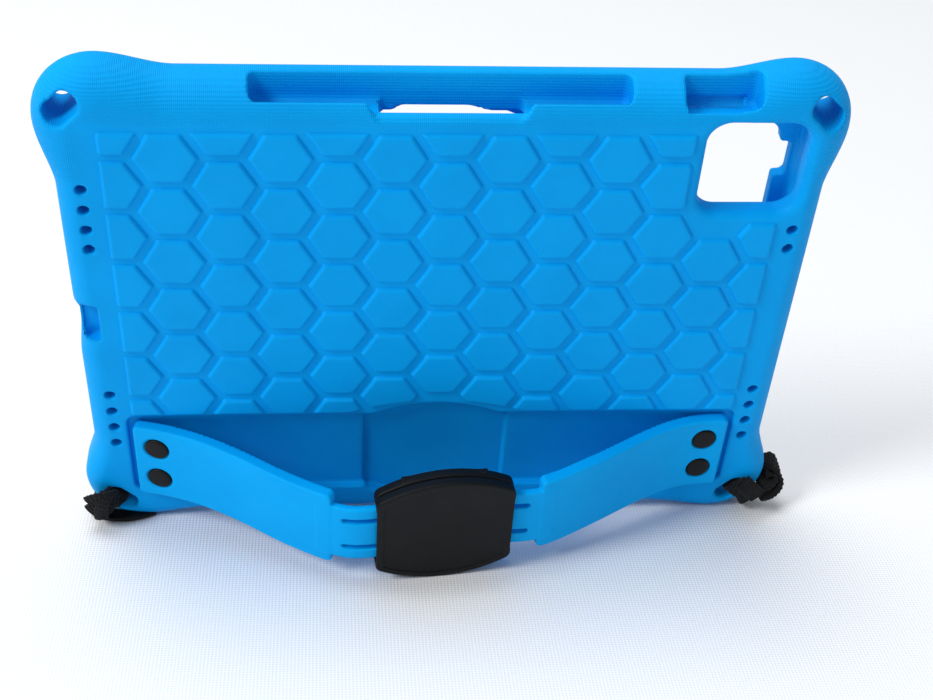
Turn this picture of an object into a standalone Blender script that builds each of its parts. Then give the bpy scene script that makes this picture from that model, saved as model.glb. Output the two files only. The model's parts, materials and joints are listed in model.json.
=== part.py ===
"""Tablet case of EVA foam with a riveted hand strap that pulls out as a stand.

The case is modelled in its own upright frame, X across, Z up the case and -Y out of
its back.  The frame then leans on its strap, and is set on the ground plane.
Lengths are in metres, angles in degrees until math.radians turns them.
"""
import math

import bmesh
import bpy
from mathutils import Matrix, Vector

MM = 0.001
GAP = 0.3 * MM                      # clearance between touching pieces

# Tablet that the case fits, and the foam around it
TABLET_W = 247.6 * MM
TABLET_H = 178.5 * MM
TABLET_T = 6.1 * MM
TABLET_ROOM = 0.5 * MM              # cavity clearance on every side
CAVITY_BACK = 10.0 * MM             # depth of the cavity's rear wall below the back face
CAVITY_T = TABLET_T + TABLET_ROOM
CAVITY_W = TABLET_W + 2 * TABLET_ROOM
CAVITY_H = TABLET_H + 2 * TABLET_ROOM
CAVITY_Z = 10.0 * MM                # foot of the cavity above the shell's waist line
LIP = 6.0 * MM                      # how far the front lip covers the tablet's edge

# Shell
HALF_W = 133.8 * MM                 # at the waist
SHELL_H = 204.8 * MM
SHELL_T = 22.0 * MM
EDGE_R = 8.0 * MM
SHOULDER_R = 13.5 * MM              # back edge along the top of the case
SHOULDER_RUN = (165.0 * MM, 190.0 * MM)
CORNER_R = 22.0 * MM
BUMP_SIDE = 5.7 * MM                # how far the corner bumpers stand out
BUMP_TOP = 4.5 * MM
BUMP_FOOT = 3.4 * MM
BUMP_RUN_SIDE = 24.0 * MM           # length of the bumper's run-out
BUMP_RUN_TOP = 26.0 * MM

# Strap recess and the pocket for the buckle
RECESS_HALF_W = 119.5 * MM
RECESS_Z = (15.5 * MM, 57.0 * MM)
RECESS_D = 2.9 * MM
POCKET_HALF_W = 28.0 * MM
POCKET_D = 4.6 * MM
POCKET_FOOT = 6.5 * MM

# Openings in the shell
CAMERA_X = (88.0 * MM, 124.0 * MM)
CAMERA_Z = (154.8 * MM, 192.0 * MM)
PENCIL_X = (-67.2 * MM, 60.8 * MM)
PENCIL_Y = (3.0 * MM, 12.5 * MM)    # depth below the back face, near and far side
PENCIL_FLOOR = 193.0 * MM
PENCIL_SCOOP_X = (-27.2 * MM, 26.0 * MM)
PENCIL_SCOOP_Z = (192.9 * MM, 195.1 * MM)       # its ledge rises from the back to the slot
PENCIL_WINDOW_X = (-24.0 * MM, 25.0 * MM)
PENCIL_WINDOW_Y = (6.0 * MM, 12.5 * MM)
LIP_NOTCH_Y = 12.0 * MM             # the notch in the lip starts under the slot's far wall
LIP_NOTCH_FOOT = 177.5 * MM
LIP_NOTCH_WAIST = (-24.0 * MM, 24.0 * MM, 185.0 * MM)   # its ends lean in above this height
LIP_NOTCH_TOP = (-17.0 * MM, 8.0 * MM, 191.4 * MM)
VOLUME_X = (78.7 * MM, 105.0 * MM)
VOLUME_Y = (1.6 * MM, 12.5 * MM)
VOLUME_HOLE_X = (80.0 * MM, 101.0 * MM)
VOLUME_HOLE_Y = (10.5 * MM, 14.5 * MM)
SIDE_HOLE_Y = (9.0 * MM, 17.5 * MM)
PORT_Z = (96.0 * MM, 114.0 * MM)
THUMB_Z = (103.5 * MM, 110.5 * MM)
SPEAKER_X = 124.5 * MM
SPEAKER_D = 4.0 * MM
SPEAKER_PITCH = 8.6 * MM
SPEAKER_LOW_Z = 42.5 * MM           # lowest hole of a lower row of four
SPEAKER_HIGH_Z = 139.0 * MM         # lowest hole of the left upper row of four
SLOT_LENGTH = 14.0 * MM             # lanyard slots through the corners
SLOT_WIDTH = 8.0 * MM
SLOT_TOP = (128.0 * MM, 195.6 * MM)
SLOT_FOOT = (125.5 * MM, 10.3 * MM)

# Strap
STRAP_W = 37.0 * MM
STRAP_T = 5.0 * MM
STRAP_Z = 35.1 * MM                 # height of the strap's middle line
STRAP_OUT = -0.1 * MM               # y of the strap's mid-plane where it lies flat
ROOT_END = 117.0 * MM
ROOT_INNER = 103.4 * MM
ARM_AXIS = 100.5 * MM               # where the foam bends beside the rivets
ARM_LENGTH = 78.5 * MM              # from there to the bend at the buckle
NECK = 7.5 * MM                     # narrow end of the arm, before its bend
NECK_SKIN = 0.02 * MM               # keeps the neck's cutters off the arm's own end face
TONGUE_W = 27.8 * MM
TONGUE_T = 3.0 * MM
TONGUE_LENGTH = 21.0 * MM
SLIT_OFFSET = 7.2 * MM
SLIT_W = 2.4 * MM
SLIT_START = -2.5 * MM
SLIT_END = 18.0 * MM
ARM_ANGLE_LEFT = 32.2               # slopes of the two arms in the pulled-out strap
ARM_ANGLE_RIGHT = 26.0

# Rivets
RIVET_X = 108.1 * MM
RIVET_OFFSET = 8.2 * MM
RIVET_CAP_D = 10.0 * MM
RIVET_CAP_T = 1.5 * MM
RIVET_SHANK_D = 3.2 * MM
RIVET_BASE_D = 9.0 * MM
RIVET_BASE_T = 1.3 * MM

# Buckle
BUCKLE_HALF_W = 26.6 * MM
BUCKLE_END_H = 37.2 * MM
BUCKLE_MID_H = 52.8 * MM
BUCKLE_T = 8.6 * MM
BUCKLE_WALL = 1.3 * MM
MOUTH_W = 28.8 * MM
BASE_PLATE_HALF_W = 20.6 * MM       # the base's plate stops short, so that the strap can bend
POST_OFFSET = 19.2 * MM
POST_D = 1.8 * MM
BUCKLE_REACH = 36.0 * MM            # left bend to the buckle's middle, pulled out
CLIP_X = 14.0 * MM
CLIP_SIZE = (5.0 * MM, 2.4 * MM, 1.2 * MM)

# Lanyard webbing on the two lower corners
WEBBING_W = 8.5 * MM
WEBBING_T = 1.8 * MM
BAND_REACH = {-1: 11.8 * MM, 1: 12.4 * MM}     # slot's middle to the band's outer run, left and right
BAND_BEND = 9.0 * MM
LOOP_R = 8.5 * MM                   # outer run of the loop standing at the right corner
LOOP_CENTRE = (141.0 * MM, 15.2 * MM)
LOOP_DEPTH = 11.0 * MM
LOOP_W = 8.0 * MM
FLAT_LOOP_R = 8.4 * MM              # middle line of the loop lying under the left corner
FLAT_LOOP_W = 3.2 * MM
FLAT_LOOP_T = 1.0 * MM
FLAT_LOOP_PLACE = (-132.0 * MM, 0.0 * MM)

LEAN = 13.83                        # lean of the case on its strap

FOAM_BLUE = (0.0, 0.27, 0.80, 1.0)
PLASTIC_BLACK = (0.012, 0.013, 0.015, 1.0)
WEBBING_BLACK = (0.010, 0.010, 0.012, 1.0)


# ---------------------------------------------------------------- scene helpers
def clear_scene():
    for thing in list(bpy.data.objects):
        bpy.data.objects.remove(thing, do_unlink=True)


def new_collection(name):
    collection = bpy.data.collections.new(name)
    bpy.context.scene.collection.children.link(collection)
    return collection


def plain_material(name, colour, roughness):
    material = bpy.data.materials.new(name)
    material.use_nodes = True
    shader = material.node_tree.nodes["Principled BSDF"]
    shader.inputs["Base Color"].default_value = colour
    shader.inputs["Roughness"].default_value = roughness
    shader.inputs["Metallic"].default_value = 0.0
    return material


clear_scene()
PARTS = new_collection("tablet_case")
CUTTERS = new_collection("cutters")
FOAM = plain_material("eva_foam", FOAM_BLUE, 0.55)
PLASTIC = plain_material("black_plastic", PLASTIC_BLACK, 0.4)
WEBBING = plain_material("black_webbing", WEBBING_BLACK, 0.85)


def empty(name, parent, location=(0, 0, 0), turn_x=0.0, turn_z=0.0):
    """A frame under parent.  A bend of the strap turns about its own Z."""
    node = bpy.data.objects.new(name, None)
    node.parent = parent
    node.location = location
    node.rotation_euler = (turn_x, 0.0, turn_z)
    PARTS.objects.link(node)
    return node


def part(name, mesh, material, parent):
    thing = bpy.data.objects.new(name, mesh)
    thing.parent = parent
    mesh.materials.append(material)
    PARTS.objects.link(thing)
    return thing


def cutter(name, mesh, parent):
    thing = bpy.data.objects.new(name, mesh)
    thing.parent = parent
    thing.hide_render = True
    thing.display_type = "WIRE"
    CUTTERS.objects.link(thing)
    return thing


def cut(thing, tool):
    modifier = thing.modifiers.new(tool.name, "BOOLEAN")
    modifier.operation = "DIFFERENCE"
    modifier.solver = "EXACT"
    modifier.object = tool


def join(thing, tool):
    modifier = thing.modifiers.new(tool.name, "BOOLEAN")
    modifier.operation = "UNION"
    modifier.solver = "EXACT"
    modifier.object = tool


def round_outline(thing, shoulder, other, segments):
    """Rounds both rims of the shell, with a larger radius along the top of its back."""
    weights = thing.data.attributes.new("bevel_weight_edge", "FLOAT", "EDGE")
    points = thing.data.vertices
    for edge in thing.data.edges:
        first, second = (points[k].co for k in edge.vertices)
        if abs(first.y - second.y) > 0.1 * MM:
            continue
        height = (first.z + second.z) / 2
        share = ease(min(1.0, max(0.0, (height - SHOULDER_RUN[0]) / (SHOULDER_RUN[1] - SHOULDER_RUN[0]))))
        radius = other + (shoulder - other) * share if first.y < SHELL_T / 2 else other
        weights.data[edge.index].value = radius / shoulder
    modifier = thing.modifiers.new("rounded", "BEVEL")
    modifier.width = shoulder
    modifier.segments = segments
    modifier.limit_method = "WEIGHT"
    modifier.use_clamp_overlap = False


def round_edges(thing, width, segments, angle=40.0):
    modifier = thing.modifiers.new("rounded", "BEVEL")
    modifier.width = width
    modifier.segments = segments
    modifier.limit_method = "ANGLE"
    modifier.angle_limit = math.radians(angle)


def smooth(thing, angle=35.0):
    thing.data.shade_smooth()
    thing.data.set_sharp_from_angle(angle=math.radians(angle))


# ---------------------------------------------------------------- shape helpers
def mesh_of(name, build):
    mesh = bpy.data.meshes.new(name)
    work = bmesh.new()
    build(work)
    bmesh.ops.recalc_face_normals(work, faces=work.faces)
    work.to_mesh(mesh)
    work.free()
    return mesh


def box(name, x, y, z):
    """A box between the two ends given for each axis."""
    low = Vector((min(x), min(y), min(z)))
    high = Vector((max(x), max(y), max(z)))

    def build(work):
        place = Matrix.Translation((low + high) / 2) @ Matrix.Diagonal((*(high - low), 1))
        bmesh.ops.create_cube(work, size=1.0, matrix=place)
    return mesh_of(name, build)


def wedge(name, x, y, z, top, past):
    """A block over a slope that rises from z[0] at y[0] to z[1] at y[1], run past both."""
    slope = (z[1] - z[0]) / (y[1] - y[0])
    near, far = y[0] - past, y[1] + past

    def build(work):
        ends = []
        for across in x:
            corners = ((near, z[0] - slope * past), (far, z[1] + slope * past), (far, top), (near, top))
            ends.append([work.verts.new((across, depth, height)) for depth, height in corners])
        work.faces.new(ends[0])
        work.faces.new(ends[1])
        for k in range(4):
            after = (k + 1) % 4
            work.faces.new((ends[0][k], ends[0][after], ends[1][after], ends[1][k]))
    return mesh_of(name, build)


def prism(name, outline, y_near, y_far):
    """The outline, points (x, z), as a solid between two depths y."""
    curve = bpy.data.curves.new(name, "CURVE")
    curve.dimensions = "2D"
    curve.fill_mode = "BOTH"
    curve.extrude = abs(y_far - y_near) / 2
    spline = curve.splines.new("POLY")
    spline.points.add(len(outline) - 1)
    for point, (x, z) in zip(spline.points, outline):
        point.co = (x, z, 0.0, 1.0)
    spline.use_cyclic_u = True
    guide = bpy.data.objects.new(name, curve)
    CUTTERS.objects.link(guide)
    mesh = bpy.data.meshes.new_from_object(guide.evaluated_get(bpy.context.evaluated_depsgraph_get()))
    bpy.data.objects.remove(guide, do_unlink=True)
    work = bmesh.new()
    work.from_mesh(mesh)
    bmesh.ops.remove_doubles(work, verts=work.verts, dist=0.00001)
    bmesh.ops.dissolve_limit(work, angle_limit=0.001, verts=work.verts, edges=work.edges)
    upright = Matrix.Translation((0, (y_near + y_far) / 2, 0)) @ Matrix.Rotation(math.radians(90), 4, "X")
    bmesh.ops.transform(work, matrix=upright, verts=work.verts)
    bmesh.ops.recalc_face_normals(work, faces=work.faces)
    work.to_mesh(mesh)
    work.free()
    mesh.name = name
    return mesh


def drum(name, places, diameter, y_near, y_far, sides):
    """Cylinders along Y at each (x, z) of places, in one mesh."""
    def build(work):
        turn = Matrix.Rotation(math.radians(90), 4, "X")
        for x, z in places:
            place = Matrix.Translation((x, (y_near + y_far) / 2, z)) @ turn
            bmesh.ops.create_cone(work, cap_ends=True, segments=sides, radius1=diameter / 2,
                                  radius2=diameter / 2, depth=abs(y_far - y_near), matrix=place)
    return mesh_of(name, build)


def arc(centre, radius, start, end, steps):
    points = []
    for k in range(steps + 1):
        turn = math.radians(start + (end - start) * k / steps)
        points.append((centre[0] + radius * math.cos(turn), centre[1] + radius * math.sin(turn)))
    return points


def rounded_box(x, z, radius, steps=4):
    """Outline of a rectangle with round corners, anticlockwise."""
    left, right = min(x) + radius, max(x) - radius
    foot, top = min(z) + radius, max(z) - radius
    points = []
    for centre, start in (((right, top), 0), ((left, top), 90), ((left, foot), 180), ((right, foot), 270)):
        points += arc(centre, radius, start, start + 90, steps)
    return points


def ease(t):
    return t * t * (3 - 2 * t)


# ---------------------------------------------------------------- shell
def shell_quarter(bump_end, waist, steps=6):
    """One corner of the shell's outline in the first quadrant of a frame whose origin is
    the shell's side waist line and end waist line: from the side to the end of the case."""
    centre = (HALF_W + BUMP_SIDE - CORNER_R, bump_end - CORNER_R)
    points = []
    for k in range(steps):
        t = k / steps
        points.append((HALF_W + BUMP_SIDE * ease(t), centre[1] - BUMP_RUN_SIDE * (1 - t)))
    points += arc(centre, CORNER_R, 0, 90, 8)
    for k in range(1, steps + 1):
        t = k / steps
        points.append((centre[0] - BUMP_RUN_TOP * t, bump_end + (waist - bump_end) * ease(t)))
    return points


def shell_outline():
    top = shell_quarter(SHELL_H + BUMP_TOP, SHELL_H)
    foot = [(x, -z) for x, z in shell_quarter(BUMP_FOOT, 0.0)]
    right = list(reversed(foot)) + top
    left = [(-x, z) for x, z in reversed(right)]
    return right + left


def barrel(half_w, end_h, mid_h, centre_z, steps=10):
    """Outline with straight ends and bowed top and foot, anticlockwise."""
    rise = (mid_h - end_h) / 2
    radius = (half_w ** 2 + rise ** 2) / (2 * rise)
    reach = math.degrees(math.asin(half_w / radius))
    top = arc((0.0, centre_z + mid_h / 2 - radius), radius, 90 - reach, 90 + reach, steps)
    foot = arc((0.0, centre_z - mid_h / 2 + radius), radius, 270 - reach, 270 + reach, steps)
    return top + foot


def obround(centre, length, width, turn, steps=5):
    half = (length - width) / 2
    points = arc((half, 0.0), width / 2, -90, 90, steps) + arc((-half, 0.0), width / 2, 90, 270, steps)
    c, s = math.cos(math.radians(turn)), math.sin(math.radians(turn))
    return [(centre[0] + c * x - s * z, centre[1] + s * x + c * z) for x, z in points]


def speaker_places():
    places = []
    for k in range(4):
        places.append((-SPEAKER_X, SPEAKER_LOW_Z + k * SPEAKER_PITCH))
        places.append((SPEAKER_X, SPEAKER_LOW_Z + k * SPEAKER_PITCH))
        places.append((-SPEAKER_X, SPEAKER_HIGH_Z + k * SPEAKER_PITCH))
    for k in range(2):
        places.append((SPEAKER_X, SPEAKER_HIGH_Z + k * SPEAKER_PITCH))
    return places


def rivet_places():
    return [(side * RIVET_X, STRAP_Z + level * RIVET_OFFSET) for side in (-1, 1) for level in (-1, 1)]


def build_shell(parent):
    mesh = prism("shell", shell_outline(), 0.0, SHELL_T)
    shell = part("shell", mesh, FOAM, parent)
    round_outline(shell, SHOULDER_R, EDGE_R, 4)
    past = 2 * MM
    cavity_y = (CAVITY_BACK, CAVITY_BACK + CAVITY_T)
    cavity_z = (CAVITY_Z, CAVITY_Z + CAVITY_H)
    window_x = (-CAVITY_W / 2 + LIP, CAVITY_W / 2 - LIP)
    window_z = (cavity_z[0] + LIP, cavity_z[1] - LIP)
    pencil_z = (PENCIL_FLOOR, SHELL_H + 4 * past)
    waist_left, waist_right, waist_z = LIP_NOTCH_WAIST
    top_left, top_right, top_z = LIP_NOTCH_TOP
    lip_notch = [(waist_left, LIP_NOTCH_FOOT), (waist_right, LIP_NOTCH_FOOT), (waist_right, waist_z),
                 (top_right, top_z), (top_left, top_z), (waist_left, waist_z)]
    above_cavity = (cavity_z[1] - past, PENCIL_FLOOR + past)
    pocket = barrel(POCKET_HALF_W, BUCKLE_END_H + 2.4 * MM, BUCKLE_MID_H + 2.4 * MM, STRAP_Z)
    tools = [
        ("cavity", box("cavity", (-CAVITY_W / 2, CAVITY_W / 2), cavity_y, cavity_z)),
        ("screen_window", prism("screen_window", rounded_box(window_x, window_z, 8 * MM),
                                cavity_y[0] + past, SHELL_T + past)),
        ("strap_recess", prism("strap_recess", rounded_box((-RECESS_HALF_W, RECESS_HALF_W), RECESS_Z, 4 * MM),
                               -past, RECESS_D)),
        ("buckle_pocket", prism("buckle_pocket", pocket, -past, POCKET_D)),
        ("camera_hole", prism("camera_hole", rounded_box(CAMERA_X, CAMERA_Z, 8 * MM), -past,
                              CAVITY_BACK + past)),
        ("pencil_slot", box("pencil_slot", PENCIL_X, PENCIL_Y, pencil_z)),
        ("pencil_scoop", wedge("pencil_scoop", PENCIL_SCOOP_X, (0.0, PENCIL_Y[0]), PENCIL_SCOOP_Z,
                               pencil_z[1], past)),
        ("pencil_window", box("pencil_window", PENCIL_WINDOW_X, PENCIL_WINDOW_Y, above_cavity)),
        ("lip_notch", prism("lip_notch", lip_notch, LIP_NOTCH_Y, SHELL_T + past)),
        ("volume_slot", box("volume_slot", VOLUME_X, VOLUME_Y, pencil_z)),
        ("volume_hole", box("volume_hole", VOLUME_HOLE_X, VOLUME_HOLE_Y, above_cavity)),
        ("charge_port", box("charge_port", (-HALF_W - past, -CAVITY_W / 2 + past), SIDE_HOLE_Y, PORT_Z)),
        ("thumb_notch", box("thumb_notch", (CAVITY_W / 2 - past, HALF_W + past), SIDE_HOLE_Y, THUMB_Z)),
        ("speaker_drill", drum("speaker_drill", speaker_places(), SPEAKER_D, -past, CAVITY_BACK + past, 10)),
        ("rivet_drill", drum("rivet_drill", rivet_places(), RIVET_SHANK_D + 2 * GAP, -past,
                             CAVITY_BACK + past, 12)),
        ("rivet_counterbore", drum("rivet_counterbore", rivet_places(), RIVET_BASE_D + 2 * GAP,
                                   CAVITY_BACK - RIVET_BASE_T - 2 * GAP, CAVITY_BACK + past, 16)),
    ]
    for side in (-1, 1):
        for level, (x, z), turn in (("top", SLOT_TOP, -45.0), ("foot", SLOT_FOOT, 45.0)):
            name = "lanyard_slot_%s_%s" % (level, "left" if side < 0 else "right")
            outline = obround((side * x, z), SLOT_LENGTH, SLOT_WIDTH, turn * side)
            tools.append((name, prism(name, outline, -past, SHELL_T + past)))
    for name, mesh in tools:
        cut(shell, cutter("cut_" + name, mesh, parent))
    smooth(shell)
    return shell


# ---------------------------------------------------------------- strap
def strap_root(side, parent):
    """The flat end of a strap half, riveted into the recess."""
    name = "strap_root_" + ("left" if side < 0 else "right")
    x = (side * ROOT_INNER, side * ROOT_END)
    z = (STRAP_Z - STRAP_W / 2, STRAP_Z + STRAP_W / 2)
    mid = STRAP_OUT
    mesh = prism(name, rounded_box(x, z, 2.5 * MM), mid - STRAP_T / 2, mid + STRAP_T / 2)
    root = part(name, mesh, FOAM, parent)
    drill = drum(name + "_drill", rivet_places(), RIVET_SHANK_D + 2 * GAP, mid - STRAP_T, mid + STRAP_T, 12)
    cut(root, cutter("cut_" + name, drill, parent))
    smooth(root)
    return root


def strap_arm(side, frame):
    """The free stretch of a strap half.  Its frame sits on the bend beside the rivets,
    with the arm running along its own X towards the buckle."""
    name = "strap_arm_" + ("left" if side < 0 else "right")
    start = -side * GAP
    neck = -side * (ARM_LENGTH - NECK)
    past = -side * (ARM_LENGTH + MM)
    end = -side * (ARM_LENGTH - TONGUE_T / 2 - GAP)
    half, slim = STRAP_W / 2, TONGUE_W / 2
    outline = [(start, -half), (neck, -half), (neck, -slim), (end, -slim),
               (end, slim), (neck, slim), (neck, half), (start, half)]
    arm = part(name, prism(name, outline, -STRAP_T / 2, STRAP_T / 2), FOAM, frame)
    for word, depth in (("over", (-STRAP_T, -TONGUE_T / 2)), ("under", (TONGUE_T / 2, STRAP_T))):
        thin = box(name + "_neck_" + word, (neck + side * NECK_SKIN, past), depth, (-half, half))
        cut(arm, cutter("cut_%s_%s" % (name, word), thin, frame))
    for level in (-1, 1):
        z = level * SLIT_OFFSET
        slit = box(name + "_slit", (-side * (ARM_LENGTH + SLIT_START), past), (-STRAP_T, STRAP_T),
                   (z - SLIT_W / 2, z + SLIT_W / 2))
        cut(arm, cutter("cut_%s_slit_%s" % (name, "low" if level < 0 else "high"), slit, frame))
    return arm


def strap_tongue(side, frame):
    """The slotted end of a strap half, inside the buckle."""
    name = "strap_tongue_" + ("left" if side < 0 else "right")
    inner = -side * TONGUE_LENGTH
    start = -side * (TONGUE_T / 2)
    outline = rounded_box((start, inner), (-TONGUE_W / 2, TONGUE_W / 2), 1.2 * MM, 2)
    tongue = part(name, prism(name, outline, -TONGUE_T / 2, TONGUE_T / 2), FOAM, frame)
    for level in (-1, 1):
        z = level * SLIT_OFFSET
        slit = box(name + "_slit", (-side * SLIT_START, -side * SLIT_END), (-TONGUE_T, TONGUE_T),
                   (z - SLIT_W / 2, z + SLIT_W / 2))
        cut(tongue, cutter("cut_%s_slit_%s" % (name, "low" if level < 0 else "high"), slit, frame))
    return tongue


# ---------------------------------------------------------------- rivets
def turned(name, profile, steps, parent, material, location):
    """A solid of revolution about Y: profile points (radius, y), first point outermost."""
    curve_mesh = bpy.data.meshes.new(name)
    work = bmesh.new()
    points = [work.verts.new((radius, 0.0, -y)) for radius, y in profile]
    for first, second in zip(points, points[1:]):
        work.edges.new((first, second))
    work.to_mesh(curve_mesh)
    work.free()
    thing = part(name, curve_mesh, material, parent)
    screw = thing.modifiers.new("turned", "SCREW")
    screw.steps = steps
    screw.render_steps = steps
    screw.use_merge_vertices = True
    screw.merge_threshold = 0.00001
    thing.rotation_euler = (math.radians(90), 0.0, 0.0)
    thing.location = location
    return thing


def rivet_name(piece, x, z):
    return "%s_%s_%s" % (piece, "left" if x < 0 else "right", "upper" if z > STRAP_Z else "lower")


def build_rivets(parent):
    """Snap rivets: a domed cap with its shank, and the base plate it snaps into."""
    face = STRAP_OUT - STRAP_T / 2 - GAP
    cap_r, shank_r, base_r = RIVET_CAP_D / 2, RIVET_SHANK_D / 2, RIVET_BASE_D / 2
    shank_end = CAVITY_BACK - RIVET_BASE_T - 2 * GAP
    for x, z in rivet_places():
        profile = [(0.0, face - RIVET_CAP_T), (cap_r * 0.8, face - RIVET_CAP_T * 0.8),
                   (cap_r, face - RIVET_CAP_T * 0.4), (cap_r, face), (shank_r, face),
                   (shank_r, shank_end), (0.0, shank_end)]
        cap = turned(rivet_name("rivet_cap", x, z), profile, 20, parent, PLASTIC, (x, 0.0, z))
        smooth(cap)
        top = CAVITY_BACK - RIVET_BASE_T - GAP
        base = drum(rivet_name("rivet_base", x, z), [(x, z)], RIVET_BASE_D, top, CAVITY_BACK - 0.2 * MM, 16)
        smooth(part(rivet_name("rivet_base", x, z), base, PLASTIC, parent))


# ---------------------------------------------------------------- buckle
def buckle_half(name, frame, outward):
    """One moulded half: a plate and the two bowed rims.  outward is -1 for the cover."""
    face = outward * BUCKLE_T / 2
    parting = outward * GAP / 2
    outline = barrel(BUCKLE_HALF_W, BUCKLE_END_H, BUCKLE_MID_H, 0.0)
    half = part(name, prism(name, outline, min(face, parting), max(face, parting)), PLASTIC, frame)
    round_edges(half, 0.9 * MM if outward < 0 else 0.5 * MM, 2, 60.0)
    inside = outward * (BUCKLE_T / 2 - BUCKLE_WALL)
    channel = box(name + "_channel", (-BUCKLE_HALF_W - MM, BUCKLE_HALF_W + MM), (inside, -outward * MM),
                  (-MOUTH_W / 2, MOUTH_W / 2))
    cut(half, cutter("cut_" + name + "_channel", channel, frame))
    if outward > 0:
        for side in (-1, 1):
            relief = box(name + "_relief", (side * BASE_PLATE_HALF_W, side * (BUCKLE_HALF_W + MM)),
                         (-MM, BUCKLE_T), (-MOUTH_W / 2, MOUTH_W / 2))
            cut(half, cutter("cut_%s_relief_%s" % (name, "left" if side < 0 else "right"), relief, frame))
    return half


def build_buckle(frame):
    cover = buckle_half("buckle_cover", frame, -1)
    base = buckle_half("buckle_base", frame, 1)
    places = [(side * POST_OFFSET, level * SLIT_OFFSET) for side in (-1, 1) for level in (-1, 1)]
    plate = BUCKLE_T / 2 - BUCKLE_WALL
    for k, place in enumerate(places):
        post = drum("buckle_post", [place], POST_D, plate + 0.5 * MM, -plate + GAP, 10)
        join(base, cutter("add_buckle_post_%d" % k, post, frame))
    for k, side in enumerate((-1, 1)):
        top = BUCKLE_MID_H / 2 - 2.6 * MM
        clip = box("buckle_clip", (side * CLIP_X - CLIP_SIZE[0] / 2, side * CLIP_X + CLIP_SIZE[0] / 2),
                   (2.0 * MM, 2.0 * MM + CLIP_SIZE[1]), (top - 2 * MM, top + CLIP_SIZE[2]))
        join(base, cutter("add_buckle_clip_%d" % k, clip, frame))
    smooth(cover)
    smooth(base)


# ---------------------------------------------------------------- lanyard webbing
def band(name, path, parent, width, thickness, across, material):
    """A closed flat band along path, its width running along the vector across."""
    mesh = bpy.data.meshes.new(name)
    work = bmesh.new()
    count = len(path)
    rows = []
    for k in range(count):
        here = Vector(path[k])
        along = (Vector(path[(k + 1) % count]) - Vector(path[k - 1])).normalized()
        side = (across - along * across.dot(along)).normalized()
        out = along.cross(side)
        rows.append([work.verts.new(here + side * (a * width / 2) + out * (b * thickness / 2))
                     for a, b in ((-1, -1), (1, -1), (1, 1), (-1, 1))])
    for k in range(count):
        after = rows[(k + 1) % count]
        for j in range(4):
            work.faces.new((rows[k][j], rows[k][(j + 1) % 4], after[(j + 1) % 4], after[j]))
    bmesh.ops.recalc_face_normals(work, faces=work.faces)
    work.to_mesh(mesh)
    work.free()
    return part(name, mesh, material, parent)


def corner_band(side, parent):
    """Webbing hitched through a foot slot and round the outside of its corner."""
    name = "corner_band_" + ("left" if side < 0 else "right")
    away = Vector((side, 0.0, -1.0)).normalized()
    slot = Vector((side * SLOT_FOOT[0], 0.0, SLOT_FOOT[1]))
    lift = WEBBING_T / 2 + 3 * GAP
    back, front = -lift, SHELL_T + lift
    small = 1.6 * MM
    far = BAND_REACH[side] - BAND_BEND
    centres = [(small, back + small, small, 180), (far, back + BAND_BEND, BAND_BEND, 270),
               (far, front - BAND_BEND, BAND_BEND, 0), (small, front - small, small, 90)]
    path = []
    for d, y, radius, start in centres:
        for a, b in arc((d, y), radius, start, start + 90, 4):
            path.append(slot + away * a + Vector((0.0, b, 0.0)))
    across = Vector((side, 0.0, 1.0)).normalized()
    return band(name, path, parent, WEBBING_W, WEBBING_T, across, WEBBING)


def standing_loop(parent):
    """Webbing loop at the right corner: its inner run lies on the bumper beside the
    corner band, and its outer run bows out beside the case."""
    bumper = (HALF_W + BUMP_SIDE - CORNER_R, CORNER_R - BUMP_FOOT)
    near = CORNER_R + WEBBING_T / 2 + 1.5 * GAP
    offset = (LOOP_CENTRE[0] - bumper[0], LOOP_CENTRE[1] - bumper[1])
    apart = math.hypot(*offset)
    heading = math.degrees(math.atan2(offset[1], offset[0]))
    inner_half = math.degrees(math.acos((near ** 2 + apart ** 2 - LOOP_R ** 2) / (2 * near * apart)))
    outer_half = math.degrees(math.acos((LOOP_R ** 2 + apart ** 2 - near ** 2) / (2 * LOOP_R * apart)))
    trim = 4.0
    inner = arc(bumper, near, heading - inner_half + trim, heading + inner_half - trim, 8)
    outer = arc(LOOP_CENTRE, LOOP_R, heading + 180 - outer_half - 2 * trim,
                heading - 180 + outer_half + 2 * trim, 16)
    path = [Vector((x, LOOP_DEPTH, z)) for x, z in inner + outer]
    return band("tether_loop_right", path, parent, LOOP_W, WEBBING_T, Vector((0.0, 1.0, 0.0)), WEBBING)


def lying_loop(parent):
    """Webbing loop that lies flat on the ground under the left corner."""
    lean = math.radians(LEAN)
    x, y = FLAT_LOOP_PLACE
    foot = EDGE_R - BUMP_FOOT
    ground = foot * math.cos(lean) + EDGE_R * math.sin(lean) - EDGE_R
    level = (ground + FLAT_LOOP_T / 2 + 0.1 * MM - y * math.sin(lean)) / math.cos(lean)
    frame = empty("ground_frame", parent, (x, y, level), turn_x=-lean)
    path = [Vector((a, b, 0.0)) for a, b in arc((0.0, 0.0), FLAT_LOOP_R, 0, 360 - 15, 23)]
    return band("tether_loop_left", path, frame, FLAT_LOOP_T, FLAT_LOOP_W, Vector((0.0, 0.0, 1.0)), WEBBING)


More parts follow.
